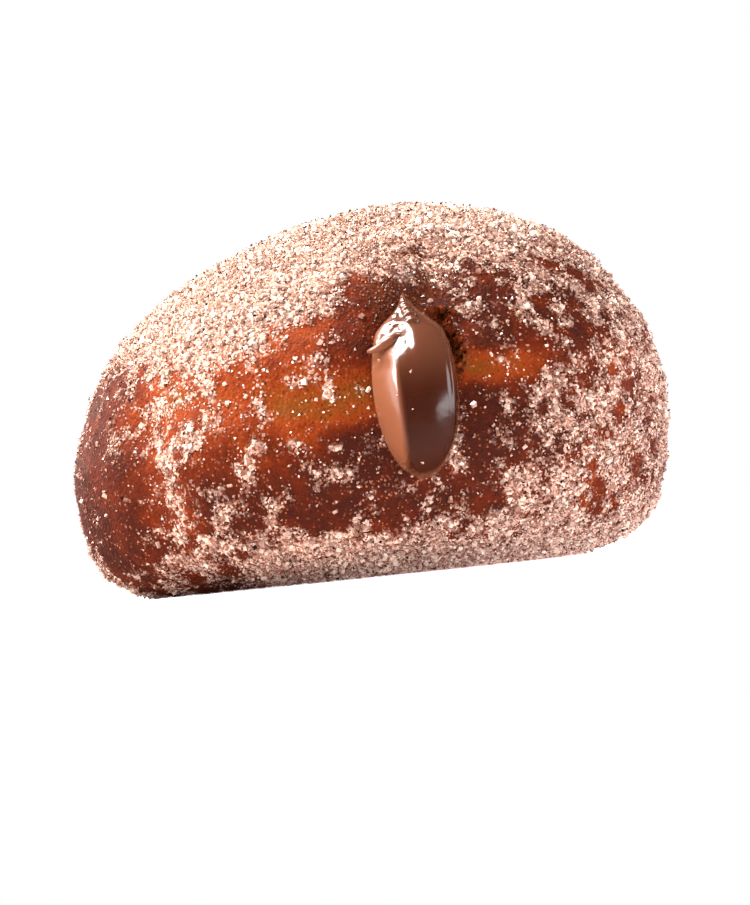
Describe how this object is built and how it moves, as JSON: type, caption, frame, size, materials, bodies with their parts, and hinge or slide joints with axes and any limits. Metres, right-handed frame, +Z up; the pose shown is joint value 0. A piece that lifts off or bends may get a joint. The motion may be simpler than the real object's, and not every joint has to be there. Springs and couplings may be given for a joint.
{
  "type": "filled doughnut",
  "caption": "Round filled yeast doughnut coated in cinnamon sugar, with chocolate cream running out of a hole in its side.",
  "frame": {"origin": "middle of the doughnut's footprint, on the surface that it lies on", "axes": "+Z up; the front, where the filling runs out, faces -Y; +X to the right seen from the front"},
  "size_m": [0.0818, 0.0802, 0.0502],
  "materials": {
    "dough": "fried dough crust, red-brown with a paler gold line round the side, slightly greasy, coated in cinnamon sugar",
    "filling": "smooth milk chocolate cream, wet and glossy",
    "sugar": "granulated sugar crystals tinted by cinnamon, sparkling",
    "cinnamon": "dark ground cinnamon specks, dull"
  },
  "bodies": {
    "root": {"dough": "dough", "filling": "filling"}
  },
  "joints": []
}
